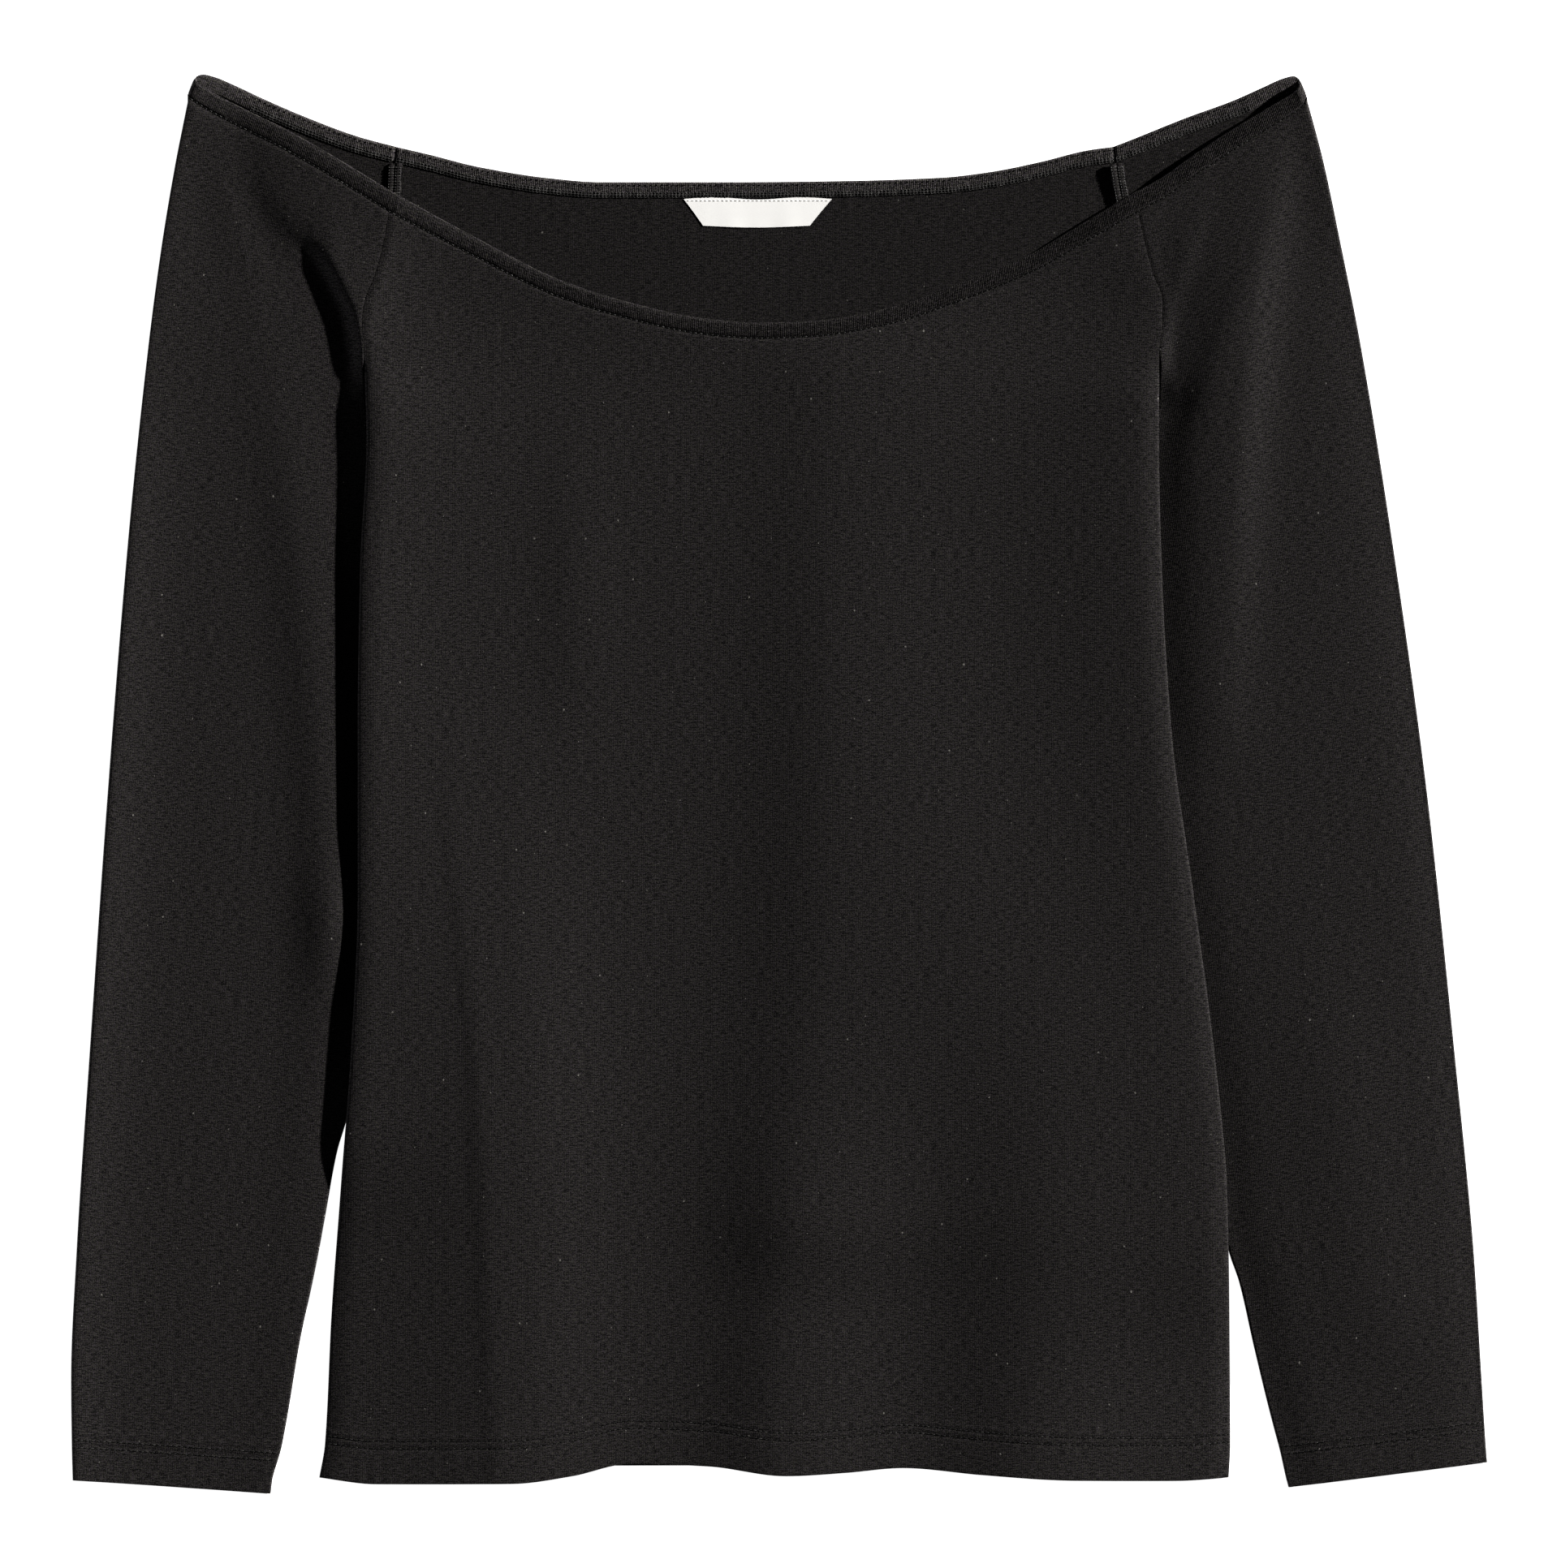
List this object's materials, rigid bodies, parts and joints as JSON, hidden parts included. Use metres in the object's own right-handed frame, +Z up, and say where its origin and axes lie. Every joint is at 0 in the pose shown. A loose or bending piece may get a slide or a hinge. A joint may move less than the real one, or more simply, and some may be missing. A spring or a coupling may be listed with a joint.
{
  "type": "off-shoulder top",
  "caption": "Long-sleeved off-shoulder jersey top laid flat on its back, with a wide elasticated neckline, a straight flared body and sleeves tucked under its sides.",
  "frame": {"origin": "middle of the garment's outline, on the surface that it lies on", "axes": "+X to the wearer's left, +Y from the hem to the neckline, +Z up off the surface, with the front of the garment facing up"},
  "size_m": [0.6284, 0.6301, 0.0074],
  "materials": {
    "jersey": "matt charcoal cotton jersey with some stretch",
    "neckband_jersey": "the same jersey folded over elastic",
    "overlock_thread": "charcoal overlock thread over the jersey's edge",
    "label_satin": "plain white woven satin"
  },
  "bodies": {
    "root": {"front": "jersey", "back": "jersey", "sleeve_right": "jersey", "sleeve_left": "jersey", "neckband_front": "neckband_jersey", "neckband_back": "neckband_jersey", "neckband_right_sleeve": "neckband_jersey", "neckband_left_sleeve": "neckband_jersey", "seam_allowance_right": "overlock_thread", "seam_allowance_left": "overlock_thread", "neck_label": "label_satin"}
  },
  "joints": []
}
